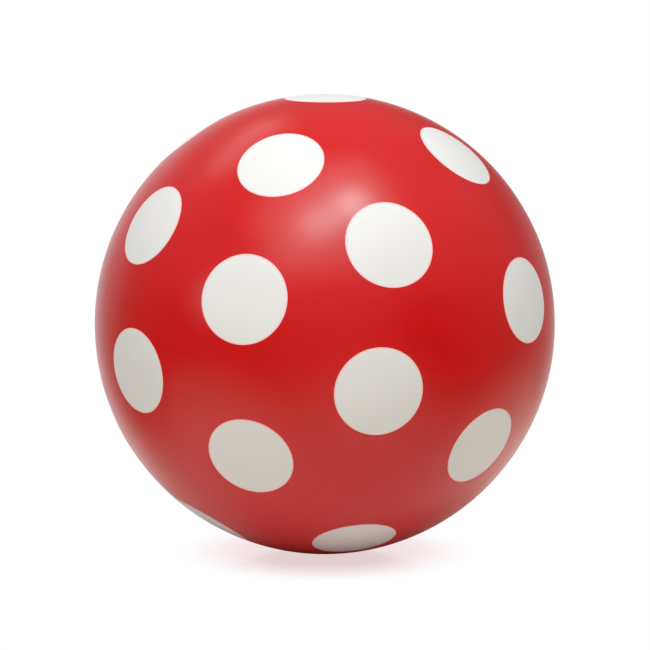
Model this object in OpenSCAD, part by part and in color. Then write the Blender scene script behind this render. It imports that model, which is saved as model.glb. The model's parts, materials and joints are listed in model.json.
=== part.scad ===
// Inflatable spotted play ball, in millimetres, +Z up, origin at the ball's centre.
// Its pieces are the hollow skin, the soft valve set in the skin, the push-in
// stopper of the valve, and the white spots printed on the skin.
// The spots and the valve are drawn about a pole axis along Z, with the valve at
// the lower pole, and as_it_lies() then turns them the way the ball rests.

/* [Ball] */
// Outer diameter of the inflated ball
ball_d = 220; // [150:5:300]
// Thickness of the skin
skin_t = 2.2; // [1:0.1:4]
// How far the front pole leans up from level, in degrees
lean = 8; // [0:1:30]

/* [Spots] */
// Diameter of a spot
spot_d = 38.5; // [20:0.5:44]
// Thickness of the film that makes a spot, let in flush with the skin
film_t = 0.3; // [0.1:0.05:0.8]
// Angle from one ring of spots to the next, in degrees
ring_step = 36; // [32:1:38]
// Turn of all the spots about the pole axis, in degrees
spot_turn = 86.5; // [0:0.5:360]

/* [Valve] */
// Bore of the valve, which a pump's nozzle fits
bore_d = 4.6; // [3:0.1:6]
// Wall of the tail tube round the bore
tail_wall = 2.2; // [1:0.1:4]
// Length of the tail tube below the flange
tail_l = 14; // [10:1:25]
// Width of the chamfer at the mouth of the bore
mouth_w = 0.6; // [0.2:0.1:1]
// Width of the rim that shows round the stopper's dish
rim_w = 1.6; // [0.8:0.1:4]
// How far the flange reaches beyond the neck
flange_w = 5; // [3:0.5:8]
// Thickness of the flange at its root
flange_t = 2; // [1.2:0.1:3]
// Thickness of the flange at its edge
flange_edge_t = 0.8; // [0.4:0.1:1.2]
// Size of the sloped web between the flange and the tail
web_w = 2.5; // [1:0.5:4]
// Bevel round the end of the tail
tail_bevel = 0.8; // [0.2:0.1:1]

/* [Valve pad] */
// How far the skin's thick pad reaches beyond the flange
pad_w = 4; // [2:0.5:8]
// Thickness that the pad adds to the skin at its rim
pad_t = 1.6; // [0.8:0.1:3]

/* [Stopper] */
// Diameter of the stopper's head
head_d = 10; // [8:0.5:16]
// Thickness of the head at its centre
head_t = 1.5; // [1:0.1:2]
// Rounding of the head's upper edge
head_round = 0.5; // [0.2:0.1:0.6]
// How far the head's crown lies below the ball's surface
head_sink = 0.2; // [0:0.1:0.4]
// Gap round the head at the floor of the dish
head_gap = 0.4; // [0.2:0.1:1]
// How much wider the dish is at its mouth than at its floor, on each side
dish_flare = 0.6; // [0.2:0.1:1.5]
// Gap under the head
seat_gap = 0.1; // [0.05:0.05:0.3]
// Gap between the shank and the bore
shank_gap = 0.35; // [0.2:0.05:0.6]
// Gap between the sealing beads and the bore
bead_gap = 0.05; // [0.02:0.01:0.09]
// Width of a sealing bead
bead_w = 1.6; // [1:0.1:2]
// Distance from one bead to the next
bead_pitch = 4; // [2.5:0.5:5]
// Number of sealing beads
bead_n = 3; // [1:1:4]
// Distance from the shank's tip to the first bead
bead_lead = 3.5; // [3:0.5:5]
// How far the shank's tip stays above the end of the tail
tip_back = 2; // [1:0.5:4]

/* [Hidden] */
$fn = 128;
overrun = 2;

// How far each front spot is printed off its even place, in degrees: first away
// from the pole, then round it. An even ring would hold only zeros.
front_pole_drift = [0.7, 0];
front_ring_drift = [[-1, -2.3], [0.2, -0.3], [0, 0.6], [0.4, 1.9], [0.4, 0.9], [-0.7, -0.8]];
front_belt_drift = [
  [0.6, 0.1], [-1, -1], [-2, 0],
  [0, 0], [3, -0.5], [1.5, -0.4],
  [-0.8, 0.9], [1.2, -1], [-0.7, 0.4]
];

// The ball
ball_r = ball_d / 2;
chamber_r = ball_r - skin_t;
film_floor_r = ball_r - film_t;
spot_r = spot_d / 2;
plug_z = sqrt(pow(film_floor_r, 2) - pow(spot_r, 2)) - overrun;

// The valve, by radius from its axis
bore_r = bore_d / 2;
tail_r = bore_r + tail_wall;
head_r = head_d / 2;
dish_floor_r = head_r + head_gap;
dish_mouth_r = dish_floor_r + dish_flare;
neck_r = dish_mouth_r + rim_w;
flange_r = neck_r + flange_w;
pad_r = flange_r + pad_w;

// The valve, by height above the ball's centre along the valve's axis
crown_z = ball_r - head_sink;
head_z = crown_z - head_t;
dish_z = head_z - seat_gap;
pad_z = sqrt(pow(chamber_r, 2) - pow(pad_r, 2)) - pad_t;
flange_z = pad_z - flange_t;
tail_z = flange_z - tail_l;

// The stopper
shank_r = bore_r - shank_gap;
bead_r = bore_r - bead_gap;
tip_z = tail_z + tip_back;

// Places of the spots, each as [angle from the front pole, angle round it].
// The back half repeats the front half through the ball's centre, printed even.
function ring(angle, drift) = [
  for (k = [0:len(drift) - 1])
    [angle + drift[k][0], k * 360 / len(drift) + drift[k][1]]
];
function even(drift) = [for (d = drift) [0, 0]];
function opposite(places) = [for (p = places) [180 - p[0], p[1] + 180]];

front_pole = [front_pole_drift];
front_ring = ring(ring_step, front_ring_drift);
front_belt = ring(2 * ring_step, front_belt_drift);
back_belt = opposite(ring(2 * ring_step, even(front_belt_drift)));
back_ring = opposite(ring(ring_step, even(front_ring_drift)));
back_pole = opposite(even(front_pole));

// Turns what is drawn about the pole axis the way the ball rests
module as_it_lies() {
  rotate([90 - lean, 0, 0]) rotate([0, 0, spot_turn]) children();
}

// Puts what is drawn along +Z on the valve's axis, at the back pole
module at_valve() {
  rotate([180, 0, 0]) children();
}

// Turns what is drawn about +Z to each of the given places
module at_places(places) {
  for (p = places) rotate([0, p[0], p[1]]) children();
}

// Half section of a film, between its floor and the given top
module film_section(top) {
  difference() {
    translate([0, plug_z]) square([spot_r, top - plug_z]);
    circle(r = film_floor_r);
  }
}

// The pockets of the skin that hold the films
module film_pockets(places) {
  at_places(places) rotate_extrude() film_section(ball_r + overrun);
}

// The printed films, crowned like the ball
module films(places) {
  at_places(places) rotate_extrude()
    intersection() {
      circle(r = ball_r);
      film_section(ball_r + overrun);
    }
}

// The hole of the neck, from the pad's face out through the skin
module neck_hole() {
  at_valve() translate([0, 0, pad_z - overrun])
    cylinder(h = ball_r - pad_z + 2 * overrun, r = neck_r);
}

// The air chamber, less the thick pad on which the valve's flange is bonded. The
// pad's side slopes out to the skin at 45 degrees.
module air_chamber() {
  difference() {
    sphere(r = chamber_r);
    at_valve() translate([0, 0, pad_z])
      cylinder(h = ball_r - pad_z, r1 = pad_r, r2 = pad_r + ball_r - pad_z);
  }
}

module ball_skin() {
  color("red") as_it_lies()
    difference() {
      sphere(r = ball_r);
      air_chamber();
      neck_hole();
      film_pockets(front_pole);
      film_pockets(front_ring);
      film_pockets(front_belt);
      film_pockets(back_belt);
      film_pockets(back_ring);
      film_pockets(back_pole);
    }
}

// Half section of the valve's outside, from the tail's end up to the neck, which is
// crowned like the ball. The flange thins out towards its edge.
module valve_outline() {
  intersection() {
    circle(r = ball_r);
    polygon([
      [0, tail_z], [tail_r - tail_bevel, tail_z], [tail_r, tail_z + tail_bevel],
      [tail_r, flange_z - web_w], [tail_r + web_w, flange_z],
      [flange_r, pad_z - flange_edge_t], [flange_r, pad_z],
      [neck_r, pad_z], [neck_r, ball_r + overrun], [0, ball_r + overrun]
    ]);
  }
}

// Half section of the dish that takes the stopper's head, and of the bore's mouth
module dish_section() {
  polygon([
    [0, dish_z - mouth_w], [bore_r, dish_z - mouth_w], [bore_r + mouth_w, dish_z],
    [dish_floor_r, dish_z], [dish_mouth_r, ball_r], [dish_mouth_r, ball_r + overrun],
    [0, ball_r + overrun]
  ]);
}

module valve_section() {
  difference() {
    valve_outline();
    dish_section();
    translate([0, tail_z - overrun]) square([bore_r, dish_z - tail_z + overrun]);
  }
}

module valve_body() {
  color("whitesmoke") as_it_lies() at_valve()
    rotate_extrude() valve_section();
}

// Half section of the stopper's head, crowned like the ball, with a rounded edge
module head_section() {
  intersection() {
    circle(r = crown_z);
    union() {
      translate([0, head_z]) square([head_r, head_t - head_round]);
      translate([0, head_z]) square([head_r - head_round, head_t]);
      translate([head_r - head_round, crown_z - head_round]) circle(r = head_round);
    }
  }
}

// Half section of the stopper: head, shank with a round tip, and sealing beads
module stopper_section() {
  head_section();
  translate([0, tip_z + shank_r]) square([shank_r, head_z + head_t / 2 - tip_z - shank_r]);
  intersection() {
    translate([0, tip_z]) square([shank_r, shank_r]);
    translate([0, tip_z + shank_r]) circle(r = shank_r);
  }
  for (k = [0:bead_n - 1])
    translate([bead_r - bead_w / 2, tip_z + bead_lead + k * bead_pitch]) circle(d = bead_w);
}

module valve_stopper() {
  color("white") as_it_lies() at_valve()
    rotate_extrude() stopper_section();
}

module front_pole_spot() {
  color("white") as_it_lies() films(front_pole);
}

module front_ring_spots() {
  color("white") as_it_lies() films(front_ring);
}

module front_belt_spots() {
  color("white") as_it_lies() films(front_belt);
}

module back_belt_spots() {
  color("white") as_it_lies() films(back_belt);
}

module back_ring_spots() {
  color("white") as_it_lies() films(back_ring);
}

// The spot at the back pole, with the valve's neck coming up through it
module valve_spot() {
  color("white") as_it_lies()
    difference() {
      films(back_pole);
      neck_hole();
    }
}

ball_skin();
valve_body();
valve_stopper();
front_pole_spot();
front_ring_spots();
front_belt_spots();
back_belt_spots();
back_ring_spots();
valve_spot();
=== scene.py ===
"""Looks of the spotted play ball, in metres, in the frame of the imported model.

Each visible piece is a body of revolution turned in mesh code: the skin, the valve
and the stopper about the valve's axis, and each printed film about its own. The
ball's radius, the valve's axis and the places and size of the films come from the
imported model, and the rest are the named values below.
"""

import json
import math

import bmesh
import bpy
import numpy as np
from mathutils import Matrix, Vector


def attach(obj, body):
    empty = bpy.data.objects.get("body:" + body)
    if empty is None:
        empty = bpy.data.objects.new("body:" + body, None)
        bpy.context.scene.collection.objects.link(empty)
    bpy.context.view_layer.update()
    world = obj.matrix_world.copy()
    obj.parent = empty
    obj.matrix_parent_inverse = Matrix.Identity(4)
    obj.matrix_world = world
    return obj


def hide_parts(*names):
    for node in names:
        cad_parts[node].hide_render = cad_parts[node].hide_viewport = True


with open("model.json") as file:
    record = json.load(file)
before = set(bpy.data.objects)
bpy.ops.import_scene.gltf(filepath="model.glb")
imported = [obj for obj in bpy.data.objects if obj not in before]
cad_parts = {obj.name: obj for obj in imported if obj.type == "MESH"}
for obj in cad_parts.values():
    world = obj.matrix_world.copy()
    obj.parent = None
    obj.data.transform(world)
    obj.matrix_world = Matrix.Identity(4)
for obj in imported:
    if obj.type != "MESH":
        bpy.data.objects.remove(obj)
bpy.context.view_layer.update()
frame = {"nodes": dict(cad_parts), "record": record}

MM = 0.001

# Lengths in metres under this count as zero
TINY = 1e-9

# The ball and the valve's axis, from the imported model
MOUNTS = {m["name"]: m for m in frame["record"]["mounts"]}
BALL_R = -MOUNTS["floor_rest"]["pos_m"][2]
VALVE_AXIS = Vector(MOUNTS["inflation_valve"]["axis"]).normalized()

# The skin, with the thick pad that the valve is bonded to
SKIN_T = 2.2 * MM
PAD_R = 16.6 * MM
PAD_T = 1.6 * MM
NECK_R = 7.6 * MM
HOLE_ROUND = 0.25 * MM
HOLE_R = NECK_R + HOLE_ROUND
SKIN_SIDES = 320
SKIN_RINGS = 200
CHAMBER_RINGS = 40

# The skin's own slight unevenness, as long low waves that die out round the valve
SWELL = 0.06 * MM
SWELL_LENGTHS = (45 * MM, 75 * MM)
SWELL_WAVES = 7
SWELL_SEED = 4
SWELL_STARTS = 22 * MM
SWELL_FULL = 50 * MM

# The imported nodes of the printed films, apart from the one round the valve
FILM_NODES = [
    "front_pole_spot",
    "front_ring_spots",
    "front_belt_spots",
    "back_belt_spots",
    "back_ring_spots",
]

# To find a node's films: corners this near are one, and this many decimals of their
# axes put them in order
WELD = 0.001 * MM
AXIS_PLACES = 4

# The films. Their edge thins out in steps, which are shares of its width, and the ink
# covers less over a wider strip at the rim.
FILM_RISE = 0.04 * MM
FILM_SINK = 0.1 * MM
FILM_EDGE_W = 0.3 * MM
FILM_EDGE_STEPS = (0.35, 0.65, 0.88, 1.0)
FILM_EDGE_POWER = 6
FILM_SIDES = 144
FILM_RINGS = 14
INK_FADE_MM = 1.1

# Their uneven printed outline, as a share of the radius: the waves that it sums, by
# their number round the film, and the range of their sizes
FILM_WOBBLE = 0.006
FILM_WAVES = (2, 3, 5, 9)
FILM_WAVE_SIZES = (0.2, 1.0)
VALVE_FILM_SEED = 9

# The valve. The dish's lip is rounded up to an angle, in degrees from straight outward.
BORE_R = 2.3 * MM
TAIL_R = 4.5 * MM
TAIL_L = 14.0 * MM
TAIL_BEVEL = 0.8 * MM
WEB_W = 2.5 * MM
FLANGE_R = 12.6 * MM
FLANGE_T = 2.0 * MM
FLANGE_EDGE_T = 0.8 * MM
DISH_FLOOR_R = 5.4 * MM
DISH_MOUTH_R = 6.0 * MM
MOUTH_W = 0.6 * MM
RIM_ROUND = 0.2 * MM
LIP_ENDS_AT = 160
NECK_GAP = 0.03 * MM
VALVE_SIDES = 96
VALVE_SHARP = math.radians(35)

# The stopper
HEAD_R = 5.0 * MM
HEAD_T = 1.5 * MM
HEAD_SINK = 0.2 * MM
HEAD_ROUND = 0.5 * MM
HEAD_STEPS = 10
SEAT_GAP = 0.1 * MM
SHANK_R = 1.95 * MM
BEAD_R = 2.25 * MM
BEAD_W = 1.6 * MM
BEAD_PITCH = 4.0 * MM
BEAD_LEAD = 3.5 * MM
BEAD_STEPS = 10
BEADS = 3
TIP_BACK = 2.0 * MM
TIP_STEPS = 12
STOPPER_SHARP = math.radians(40)

# The moulding gate's mark in the middle of the stopper's head. Its floor, its edge and
# its end are shares of its radius, and its edge's depth is a share of its depth.
GATE_R = 0.9 * MM
GATE_DEPTH = 0.12 * MM
GATE_FLOOR = 0.6
GATE_EDGE = 0.9
GATE_EDGE_DEPTH = 0.4
GATE_END = 1.1

# Heights along the valve's axis, above the ball's centre
CHAMBER_R = BALL_R - SKIN_T
PAD_Z = math.sqrt(CHAMBER_R**2 - PAD_R**2) - PAD_T
FLANGE_Z = PAD_Z - FLANGE_T
TAIL_Z = FLANGE_Z - TAIL_L
CROWN_Z = BALL_R - HEAD_SINK
HEAD_Z = CROWN_Z - HEAD_T
DISH_Z = HEAD_Z - SEAT_GAP
TIP_Z = TAIL_Z + TIP_BACK

# Colours of the materials, each mottled between two, and the ink's where it is thinnest
RED = ((0.645, 0.0022, 0.0028), (0.675, 0.0028, 0.0036))
INK_WHITE = ((0.846, 0.84, 0.826), (0.866, 0.86, 0.848))
INK_RIM = (0.99, 0.58, 0.55)
VALVE_WHITE = ((0.74, 0.73, 0.69), (0.79, 0.78, 0.75))
STOPPER_WHITE = ((0.8, 0.8, 0.79), (0.84, 0.84, 0.83))

# The part of noise's range that it seldom leaves
NOISE_RANGE = (0.2, 0.8)

# The camera, where the photograph's perspective puts it: 7 ball radii from the centre.
# Its angles are in degrees.
CAM_AZIMUTH = 18.4
CAM_ELEVATION = 3.4
CAM_DISTANCE = 7 * BALL_R
CAM_CLIP_START = 10 * MM
LENS_MM = 88.3
IMAGE_PX = 650
BALL_LEFT_PX = 0.22
BALL_UP_PX = 1.0

# The floor, just under the lowest of the ball's waves
STAGE_Z = -BALL_R - 0.1 * MM
FLOOR_R = 0.6
FLOOR_SIDES = 128
FLOOR_ROUGHNESS = 0.4
FLOOR_SPECULAR = 0.3

# From where to where the floor clears, by distance from the ball's foot: for light, and
# for the camera
FLOOR_CLEARS = (0.05, 0.2)
FLOOR_CLEARS_IN_VIEW = (0.03, 0.075)

# In view: how clear the floor is at least, and how much of the rest is mirror
FLOOR_CLEAR_LEAST = 0.75
FLOOR_MIRROR = 0.75
FLOOR_MIRROR_ROUGHNESS = 0.15

# The floor's colour, and the redder colour at the ball's foot with where that fades: painted red
# bounce light from the ball
FLOOR_COLOUR = (0.95, 0.93, 0.9)
FLOOR_PAINTED_BOUNCE = (0.95, 0.42, 0.4)
FLOOR_PAINTED_BOUNCE_ENDS = (0.015, 0.06)

# The pink tint of the floor's clear share near the ball's foot: a painted reflection of the red
# ball
FLOOR_PAINTED_REFLECTION = (1, 0.83, 0.84)

# The studio, by azimuth to the right of the camera's side and by elevation, in degrees
LAMP_DISTANCE = 1.1

# Soft lamps: the directions of the two ends, then the width in metres and the power
LAMPS = {
    "upper_key_lamp": ((14, 56), (32, 61), 0.2, 2.15),
    "lower_key_lamp": ((-12, 47), (8, 54), 0.18, 1.2),
    "wide_key_lamp": ((-14, 46), (30, 60), 0.3, 1.0),
    "fill_lamp": ((-32, 40), (62, 66), 0.55, 2.3),
    "low_fill_lamp": ((-30, 30), (20, 36), 0.35, 0.95),
    "rear_lamp": ((-158, 57), (-106, 53), 0.2, 0.54),
    "side_lamp": ((-60, 8), (-36, 22), 0.3, 0.95),
}

# Soft patches of the room's light: azimuth, elevation, inner and outer radius, level
ROOM_LIGHT = [
    (0, 90, 10, 88, 0.4),
    (38, 36, 8, 28, 0.3),
    (-150, 3, 12, 38, 0.55),
    (146, -8, 10, 34, 0.4),
    (-100, 20, 15, 42, 0.22),
    (90, 20, 15, 45, 0.26),
    (0, 10, 15, 50, 0.28),
    (0, -90, 20, 80, 1.08),
    (27, -31, 8, 26, 0.7),
    (118, -34, 8, 30, 0.75),
    (-65, -40, 10, 35, 0.58),
    (180, -35, 15, 50, 0.68),
]

# The room's light is white in this patch round the zenith, and has the low tone below it
WHITE_LIGHT = (0, 90, 75, 105)
LOW_TONE = (1, 0.93, 0.8)

# The patch of the white backdrop behind the ball that gloss shows
BACKDROP = (-172, -6, 8, 36)


def make_object(name, bm):
    """A new smooth-shaded object from a bmesh, which it frees."""
    mesh = bpy.data.meshes.new(name)
    bmesh.ops.recalc_face_normals(bm, faces=bm.faces)
    bm.to_mesh(mesh)
    bm.free()
    mesh.shade_smooth()
    obj = bpy.data.objects.new(name, mesh)
    bpy.context.scene.collection.objects.link(obj)
    return obj


def turned(bm, profile, axis, sides, closed=False):
    """Turns a profile of (radius, height) points about an axis through the ball's centre.

    A point of radius zero becomes one vertex. A closed profile is joined end to end.
    """
    to_axis = axis.to_track_quat("Z", "X").to_matrix()
    rings = []
    for radius, height in profile:
        if radius == 0:
            rings.append([bm.verts.new(to_axis @ Vector((0, 0, height)))])
            continue
        ring = []
        for k in range(sides):
            angle = 2 * math.pi * k / sides
            point = Vector((radius * math.cos(angle), radius * math.sin(angle), height))
            ring.append(bm.verts.new(to_axis @ point))
        rings.append(ring)
    pairs = list(zip(rings, rings[1:]))
    if closed:
        pairs.append((rings[-1], rings[0]))
    for low, high in pairs:
        join_rings(bm, low, high, sides)


def join_rings(bm, low, high, sides):
    """Faces between two rings, either of which may be a single vertex."""
    for k in range(sides):
        after = (k + 1) % sides
        ring_corners = [
            low[k % len(low)],
            low[after % len(low)],
            high[after % len(high)],
            high[k % len(high)],
        ]
        corners = list(dict.fromkeys(ring_corners))
        bm.faces.new(corners)


def arc(radius, start, end, steps):
    """Points (radius, height) on a circle round the ball's centre, by angle from the axis."""
    points = [
        (radius * math.sin(a), radius * math.cos(a)) for a in np.linspace(start, end, steps + 1)
    ]
    return [(0 if r < TINY else r, h) for r, h in points]


def rounding(centre, radius, start, end, steps=5):
    """Points on a small rounding of the profile, by angle in degrees from straight outward."""
    angles = np.radians(np.linspace(start, end, steps + 1))
    return [(centre[0] + radius * math.cos(a), centre[1] + radius * math.sin(a)) for a in angles]


def on_sphere(radius, sphere_r):
    """The height of a sphere round the ball's centre at that distance from the axis."""
    return math.sqrt(sphere_r**2 - radius**2)


def make_waves():
    """The waves of the skin's unevenness, each as its direction with its pitch, and its shift."""
    draw = np.random.RandomState(SWELL_SEED)
    waves = []
    for _ in range(SWELL_WAVES):
        direction = Vector(draw.normal(size=3)).normalized()
        pitch = 2 * math.pi / draw.uniform(*SWELL_LENGTHS)
        waves.append((pitch * direction, draw.uniform(0, 2 * math.pi)))
    return waves


WAVES = make_waves()


def swelled(point):
    """A point of the ball's surface, moved out or in by the skin's unevenness."""
    away = point.angle(VALVE_AXIS) * BALL_R
    share = min(1, max(0, (away - SWELL_STARTS) / (SWELL_FULL - SWELL_STARTS)))
    fade = share * share * (3 - 2 * share)
    surface = BALL_R * point.normalized()
    height = sum(math.sin(surface.dot(wave) + shift) for wave, shift in WAVES)
    return point * (1 + fade * SWELL * height / math.sqrt(SWELL_WAVES) / BALL_R)


def make_skin():
    """The hollow skin, with the valve's hole and the pad inside it."""
    pad_foot_r = PAD_R + PAD_T
    foot_angle = math.asin(pad_foot_r / CHAMBER_R)
    outside = arc(BALL_R, math.pi, math.asin(HOLE_R / BALL_R), SKIN_RINGS)
    edge = rounding((HOLE_R, outside[-1][1] - HOLE_ROUND), HOLE_ROUND, 90, 180)[1:]
    pad = [(NECK_R, PAD_Z), (PAD_R, PAD_Z)]
    chamber = arc(CHAMBER_R, foot_angle, math.pi, CHAMBER_RINGS)
    bm = bmesh.new()
    turned(bm, outside + edge + pad + chamber, VALVE_AXIS, SKIN_SIDES)
    for v in bm.verts:
        v.co = swelled(v.co)
    return make_object("skin", bm)


def film_axes(node):
    """The middle of each printed film in a node, as a direction from the ball's centre."""
    bm = bmesh.new()
    bm.from_mesh(frame["nodes"][node].data)
    bmesh.ops.remove_doubles(bm, verts=bm.verts, dist=WELD)
    left = set(bm.faces)
    axes = []
    while left:
        # The island grows while it is walked through
        island = [left.pop()]
        for face in island:
            for edge in face.edges:
                for other in edge.link_faces:
                    if other in left:
                        left.remove(other)
                        island.append(other)
        # The walk's order may change from run to run, and an exact sum doesn't depend on it
        weighted = [face.calc_area() * face.calc_center_median() for face in island]
        axes.append(Vector([math.fsum(parts) for parts in zip(*weighted)]).normalized())
    bm.free()
    return sorted(axes, key=lambda axis: [round(part, AXIS_PLACES) for part in axis])


def film_angle():
    """The angle from a film's middle to its rim, seen from the ball's centre."""
    axis = film_axes("front_pole_spot")[0]
    corners = frame["nodes"]["front_pole_spot"].data.vertices
    return max(v.co.angle(axis) for v in corners)


FILM_ANGLE = film_angle()


def film_profile(inner_angle):
    """Section of a film that hugs the skin and thins out at its rim."""
    edge_angle = FILM_ANGLE - FILM_EDGE_W / BALL_R
    top = arc(BALL_R + FILM_RISE, inner_angle, edge_angle, FILM_RINGS)
    rim = []
    for share in FILM_EDGE_STEPS:
        angle = edge_angle + share * (FILM_ANGLE - edge_angle)
        height = FILM_RISE * math.sqrt(1 - share**2) - FILM_SINK * share**FILM_EDGE_POWER
        rim.append(((BALL_R + height) * math.sin(angle), (BALL_R + height) * math.cos(angle)))
    bottom = arc(BALL_R - FILM_SINK, FILM_ANGLE, inner_angle, FILM_RINGS)[1:]
    return top + rim + bottom


def make_films(name, node, seed, inner_r=0):
    """All the films of one node, as one piece, each with a slightly uneven printed outline.

    A film with an inner radius is a ring. The attribute from_rim holds the distance to
    the film's rim, in millimetres.
    """
    draw = np.random.RandomState(seed)
    inner_angle = math.asin(inner_r / BALL_R)
    profile = film_profile(inner_angle)
    bm = bmesh.new()
    from_rim = bm.verts.layers.float.new("from_rim")
    for axis in film_axes(node):
        before = len(bm.verts)
        turned(bm, profile, axis, FILM_SIDES, closed=inner_r > 0)
        bm.verts.ensure_lookup_table()
        waves = [
            (k, draw.uniform(0, 2 * math.pi), draw.uniform(*FILM_WAVE_SIZES)) for k in FILM_WAVES
        ]
        side = axis.orthogonal().normalized()
        other = axis.cross(side)
        for v in bm.verts[before:]:
            theta = v.co.angle(axis)
            phi = math.atan2(v.co.dot(other), v.co.dot(side))
            swing = sum(size / k * math.sin(k * phi + shift) for k, shift, size in waves)
            grown = 1 + FILM_WOBBLE * swing * (theta / FILM_ANGLE) ** 2
            turn_axis = axis.cross(v.co)
            if turn_axis.length > TINY:
                v.co.rotate(Matrix.Rotation(theta * (grown - 1), 3, turn_axis.normalized()))
            v.co = swelled(v.co)
            to_outer = FILM_ANGLE - theta
            to_inner = theta - inner_angle if inner_r else to_outer
            v[from_rim] = min(to_outer, to_inner) * BALL_R / MM
    return make_object(name, bm)


def make_valve():
    """The valve: rim, dish, bore, tail, thinning flange and neck."""
    neck_r = NECK_R - NECK_GAP
    rim_z = on_sphere(neck_r - RIM_ROUND, BALL_R)
    lip_r = DISH_MOUTH_R + RIM_ROUND
    lip_z = on_sphere(lip_r, BALL_R)
    outer_edge = rounding((neck_r - RIM_ROUND, rim_z - RIM_ROUND), RIM_ROUND, 0, 90)
    dish_edge = rounding((lip_r, lip_z - RIM_ROUND), RIM_ROUND, 90, LIP_ENDS_AT)
    profile = [
        *outer_edge,
        *dish_edge,
        (DISH_FLOOR_R, DISH_Z),
        (BORE_R + MOUTH_W, DISH_Z),
        (BORE_R, DISH_Z - MOUTH_W),
        (BORE_R, TAIL_Z),
        (TAIL_R - TAIL_BEVEL, TAIL_Z),
        (TAIL_R, TAIL_Z + TAIL_BEVEL),
        (TAIL_R, FLANGE_Z - WEB_W),
        (TAIL_R + WEB_W, FLANGE_Z),
        (FLANGE_R, PAD_Z - FLANGE_EDGE_T),
        (FLANGE_R, PAD_Z),
        (neck_r, PAD_Z),
    ]
    bm = bmesh.new()
    turned(bm, profile, VALVE_AXIS, VALVE_SIDES, closed=True)
    obj = make_object("valve", bm)
    obj.data.set_sharp_from_angle(angle=VALVE_SHARP)
    return obj


def make_stopper():
    """The stopper: crowned head with its gate mark, beaded shank and round tip."""
    gate = [
        (0, CROWN_Z - GATE_DEPTH),
        (GATE_FLOOR * GATE_R, CROWN_Z - GATE_DEPTH),
        (GATE_EDGE * GATE_R, on_sphere(GATE_R, CROWN_Z) - GATE_EDGE_DEPTH * GATE_DEPTH),
    ]
    top_angle = math.asin((HEAD_R - HEAD_ROUND) / CROWN_Z)
    top = arc(CROWN_Z, math.asin(GATE_END * GATE_R / CROWN_Z), top_angle, HEAD_STEPS)
    shoulder = rounding((HEAD_R - HEAD_ROUND, top[-1][1] - HEAD_ROUND), HEAD_ROUND, 90, 0)
    shank = []
    for k in reversed(range(BEADS)):
        middle = TIP_Z + BEAD_LEAD + k * BEAD_PITCH
        centre = (BEAD_R - BEAD_W / 2, middle)
        reach = math.degrees(math.acos((SHANK_R - centre[0]) / (BEAD_W / 2)))
        shank += rounding(centre, BEAD_W / 2, reach, -reach, BEAD_STEPS)
    tip = rounding((0, TIP_Z + SHANK_R), SHANK_R, 0, -90, TIP_STEPS)
    tip[-1] = (0, TIP_Z)
    bm = bmesh.new()
    profile = gate + top + shoulder[1:] + [(HEAD_R, HEAD_Z), (SHANK_R, HEAD_Z)] + shank + tip
    turned(bm, profile, VALVE_AXIS, VALVE_SIDES)
    obj = make_object("stopper", bm)
    obj.data.set_sharp_from_angle(angle=STOPPER_SHARP)
    return obj


class Nodes:
    """A node tree, with short calls to add nodes and join them."""

    def __init__(self, tree):
        self.tree = tree

    def node(self, kind, **settings):
        made = self.tree.nodes.new(kind)
        for key, value in settings.items():
            setattr(made, key, value)
        return made

    def join(self, source, target):
        self.tree.links.new(source, target)

    def maths(self, operation, first, second):
        """One operation on two sockets."""
        made = self.node("ShaderNodeMath", operation=operation)
        self.join(first, made.inputs[0])
        self.join(second, made.inputs[1])
        return made.outputs["Value"]

    def smooth_step(self, source, start, end, low=0.0, high=1.0):
        """Goes smoothly from low to high while the source goes from start to end."""
        made = self.node("ShaderNodeMapRange", interpolation_type="SMOOTHSTEP")
        made.inputs["From Min"].default_value = start
        made.inputs["From Max"].default_value = end
        made.inputs["To Min"].default_value = low
        made.inputs["To Max"].default_value = high
        self.join(source, made.inputs["Value"])
        return made.outputs["Result"]

    def blend(self, share, first, second):
        """A mix of two colours, each written out or a socket, by a share from 0 to 1."""
        made = self.node("ShaderNodeMix", data_type="RGBA")
        self.join(share, made.inputs["Factor"])
        for side, colour in (("A", first), ("B", second)):
            if isinstance(colour, tuple):
                made.inputs[side].default_value = (*colour, 1)
            else:
                self.join(colour, made.inputs[side])
        return made.outputs["Result"]


class Shader(Nodes):
    """A material's node tree, with its surface shader.

    Noise is given by its scale, in cycles to the metre, and its detail.
    """

    def __init__(self, name):
        self.material = bpy.data.materials.new(name)
        self.material.use_nodes = True
        super().__init__(self.material.node_tree)
        self.surface = self.tree.nodes["Principled BSDF"]

    def noise(self, scale, detail):
        """Noise over the object's own coordinates."""
        where = self.node("ShaderNodeTexCoord")
        made = self.node("ShaderNodeTexNoise")
        made.inputs["Scale"].default_value = scale
        made.inputs["Detail"].default_value = detail
        self.join(where.outputs["Object"], made.inputs["Vector"])
        return made.outputs["Fac"]

    def wander(self, noise, low, high):
        """A value that wanders from low to high with noise."""
        return self.smooth_step(self.noise(*noise), *NOISE_RANGE, low, high)

    def mottled(self, noise, first, second):
        """A colour that wanders between two with noise."""
        return self.blend(self.wander(noise, 0, 1), first, second)

    def finish(self, colour, gloss, roughness, grain, relief):
        """Gives the surface its colour, an uneven roughness and a fine grain.

        Gloss and grain are noise, roughness is the range that the gloss wanders over,
        and relief is the grain's height in metres.
        """
        self.join(colour, self.surface.inputs["Base Color"])
        self.join(self.wander(gloss, *roughness), self.surface.inputs["Roughness"])
        bump = self.node("ShaderNodeBump")
        bump.inputs["Distance"].default_value = relief
        self.join(self.noise(*grain), bump.inputs["Height"])
        self.join(bump.outputs["Normal"], self.surface.inputs["Normal"])

    def mix_shaders(self, share, first, second):
        """Two shader nodes mixed by a share from 0 to 1."""
        made = self.node("ShaderNodeMixShader")
        self.join(share, made.inputs["Fac"])
        self.join(first.outputs[0], made.inputs[1])
        self.join(second.outputs[0], made.inputs[2])
        return made


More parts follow.
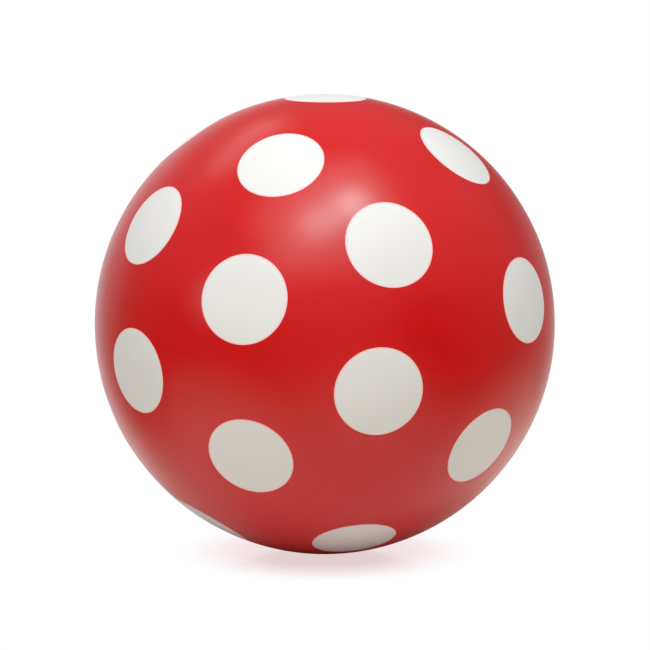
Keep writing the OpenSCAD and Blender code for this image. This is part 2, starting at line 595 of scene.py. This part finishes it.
def red_rubber():
    """Satin red rubber: deep, even colour, faint mottling and a fine moulded grain.

    The tint takes some red out of its gloss, which keeps the highlights pale.
    """
    s = Shader("red_rubber")
    s.finish(
        s.mottled((26, 1), *RED),
        gloss=(60, 1),
        roughness=(0.276, 0.296),
        grain=(1400, 2),
        relief=0.006 * MM,
    )
    s.surface.inputs["Specular Tint"].default_value = (0.5, 1, 1, 1)
    return s.material


def white_ink():
    """Flexible white ink, a little duller than the rubber, which shows through its thin rim."""
    s = Shader("white_ink")
    from_rim = s.node("ShaderNodeAttribute", attribute_name="from_rim").outputs["Fac"]
    cover = s.smooth_step(from_rim, 0, INK_FADE_MM)
    s.finish(
        s.blend(cover, INK_RIM, s.mottled((40, 1), *INK_WHITE)),
        gloss=(80, 1),
        roughness=(0.36, 0.42),
        grain=(1400, 2),
        relief=0.006 * MM,
    )
    s.surface.inputs["Specular IOR Level"].default_value = 0.12
    return s.material


def soft_valve_rubber():
    """Matt off-white rubber of the valve."""
    s = Shader("valve_rubber")
    s.finish(
        s.mottled((300, 3), *VALVE_WHITE),
        gloss=(500, 3),
        roughness=(0.5, 0.62),
        grain=(4000, 2),
        relief=0.01 * MM,
    )
    return s.material


def moulded_plastic():
    """Smooth white moulded plastic of the stopper."""
    s = Shader("stopper_plastic")
    s.finish(
        s.mottled((250, 3), *STOPPER_WHITE),
        gloss=(400, 3),
        roughness=(0.3, 0.38),
        grain=(2500, 2),
        relief=0.005 * MM,
    )
    return s.material


def dress(obj, material, body, slot, *nodes):
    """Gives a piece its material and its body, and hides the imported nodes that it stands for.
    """
    obj.data.materials.append(material)
    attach(obj, body)
    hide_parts(*nodes)


def studio_direction(azimuth, elevation):
    """A direction in the studio, by angles in degrees from the camera's side."""
    turn = math.radians(CAM_AZIMUTH) + math.radians(azimuth)
    lift = math.radians(elevation)
    return Vector((
        math.sin(turn) * math.cos(lift), -math.cos(turn) * math.cos(lift), math.sin(lift)
    ))


def make_floor():
    """A plain pale floor round the ball, which clears to the white surroundings. At the ball's
    foot it has painted red bounce light and a painted pink reflection of the ball.

    The camera sees through it from below.
    """
    bm = bmesh.new()
    bmesh.ops.create_circle(bm, cap_ends=True, segments=FLOOR_SIDES, radius=FLOOR_R)
    obj = make_object("floor", bm)
    obj.location.z = STAGE_Z
    s = Shader("floor")
    s.surface.inputs["Roughness"].default_value = FLOOR_ROUGHNESS
    s.surface.inputs["Specular IOR Level"].default_value = FLOOR_SPECULAR
    where = s.node("ShaderNodeNewGeometry")
    flat = s.node("ShaderNodeVectorMath", operation="MULTIPLY")
    flat.inputs[1].default_value = (1, 1, 0)
    s.join(where.outputs["Position"], flat.inputs[0])
    length = s.node("ShaderNodeVectorMath", operation="LENGTH")
    s.join(flat.outputs["Vector"], length.inputs[0])
    reach = length.outputs["Value"]
    # The floor's colour turns red at the ball's foot: painted red bounce light from the ball
    past_painted_bounce = s.smooth_step(reach, *FLOOR_PAINTED_BOUNCE_ENDS)
    s.join(s.blend(past_painted_bounce, FLOOR_PAINTED_BOUNCE, FLOOR_COLOUR), s.surface.inputs["Base Color"])
    seen = s.node("ShaderNodeLightPath").outputs["Is Camera Ray"]
    from_above = s.smooth_step(reach, *FLOOR_CLEARS_IN_VIEW, FLOOR_CLEAR_LEAST)
    in_view = s.maths("MAXIMUM", from_above, where.outputs["Backfacing"])
    clear_share = s.node("ShaderNodeMix")
    s.join(seen, clear_share.inputs["Factor"])
    s.join(s.smooth_step(reach, *FLOOR_CLEARS), clear_share.inputs["A"])
    s.join(in_view, clear_share.inputs["B"])
    mirror_share = s.smooth_step(seen, 0, 1, 0, FLOOR_MIRROR)
    mirror = s.node("ShaderNodeBsdfGlossy")
    mirror.inputs["Roughness"].default_value = FLOOR_MIRROR_ROUGHNESS
    clear = s.node("ShaderNodeBsdfTransparent")
    # Near the ball's foot the clear share is tinted pink: a painted reflection of the red ball
    far_share = s.smooth_step(reach, *FLOOR_CLEARS_IN_VIEW)
    s.join(s.blend(far_share, FLOOR_PAINTED_REFLECTION, (1, 1, 1)), clear.inputs["Color"])
    sheet = s.mix_shaders(mirror_share, s.surface, mirror)
    floor = s.mix_shaders(clear_share.outputs["Result"], sheet, clear)
    s.join(floor.outputs[0], s.tree.nodes["Material Output"].inputs["Surface"])
    obj.data.materials.append(s.material)


def make_strip_lamp(name, start, end, width, power):
    """A soft lamp whose long side runs from one direction to another round the ball."""
    first, last = (LAMP_DISTANCE * studio_direction(*side) for side in (start, end))
    data = bpy.data.lights.new(name, "AREA")
    data.shape = "RECTANGLE"
    data.size = (last - first).length
    data.size_y = width
    data.energy = power
    lamp = bpy.data.objects.new(name, data)
    lamp.location = (first + last) / 2
    along = (last - first).normalized()
    out = lamp.location.normalized()
    out = (out - out.dot(along) * along).normalized()
    lamp.rotation_euler = Matrix((along, out.cross(along), out)).transposed().to_euler()
    bpy.context.scene.collection.objects.link(lamp)


def make_world():
    """A dim room with a pale ceiling and backdrop, and plain white to the camera."""
    world = bpy.data.worlds.new("world")
    bpy.context.scene.world = world
    world.use_nodes = True
    s = Nodes(world.node_tree)
    way = s.node("ShaderNodeTexCoord").outputs["Generated"]

    def patch(azimuth, elevation, inner, outer, level):
        dot = s.node("ShaderNodeVectorMath", operation="DOT_PRODUCT")
        dot.inputs[1].default_value = studio_direction(azimuth, elevation)
        s.join(way, dot.inputs[0])
        near, far = (math.cos(math.radians(a)) for a in (inner, outer))
        return s.smooth_step(dot.outputs["Value"], far, near, 0, level)

    level = patch(*ROOM_LIGHT[0])
    for row in ROOM_LIGHT[1:]:
        level = s.maths("ADD", level, patch(*row))
    room = s.node("ShaderNodeVectorMath", operation="SCALE")
    s.join(s.blend(patch(*WHITE_LIGHT, 1), LOW_TONE, (1, 1, 1)), room.inputs[0])
    s.join(level, room.inputs["Scale"])
    ray = s.node("ShaderNodeLightPath").outputs
    shown = s.maths("MAXIMUM", ray["Is Glossy Ray"], ray["Is Transmission Ray"])
    behind = s.maths("MULTIPLY", shown, patch(*BACKDROP, 1))
    white = s.maths("MAXIMUM", ray["Is Camera Ray"], behind)
    shade = s.blend(white, room.outputs["Vector"], (1, 1, 1))
    s.join(shade, s.tree.nodes["Background"].inputs["Color"])


def make_camera():
    """The photograph's view: its direction, distance, lens and small offset."""
    back = studio_direction(0, CAM_ELEVATION)
    data = bpy.data.cameras.new("camera")
    data.lens = LENS_MM
    data.shift_x = BALL_LEFT_PX / IMAGE_PX
    data.shift_y = -BALL_UP_PX / IMAGE_PX
    data.clip_start = CAM_CLIP_START
    camera = bpy.data.objects.new("camera", data)
    camera.location = CAM_DISTANCE * back
    camera.rotation_euler = (-back).to_track_quat("-Z", "Y").to_euler()
    bpy.context.scene.collection.objects.link(camera)
    bpy.context.scene.camera = camera


ink = white_ink()
dress(make_skin(), red_rubber(), "ball", "red_skin", "ball_skin")
for seed, node in enumerate(FILM_NODES):
    dress(make_films(node + "_film", node, seed), ink, "ball", "white_spot", node)
valve_film = make_films("valve_spot_film", "valve_spot", VALVE_FILM_SEED, HOLE_R)
dress(valve_film, ink, "ball", "white_spot", "valve_spot")
dress(make_valve(), soft_valve_rubber(), "ball", "valve_rubber", "valve_body")
dress(make_stopper(), moulded_plastic(), "stopper", "stopper_plastic", "valve_stopper")

make_floor()
for name, row in LAMPS.items():
    make_strip_lamp(name, *row)
make_world()
make_camera()
bpy.context.scene.view_settings.view_transform = "Standard"
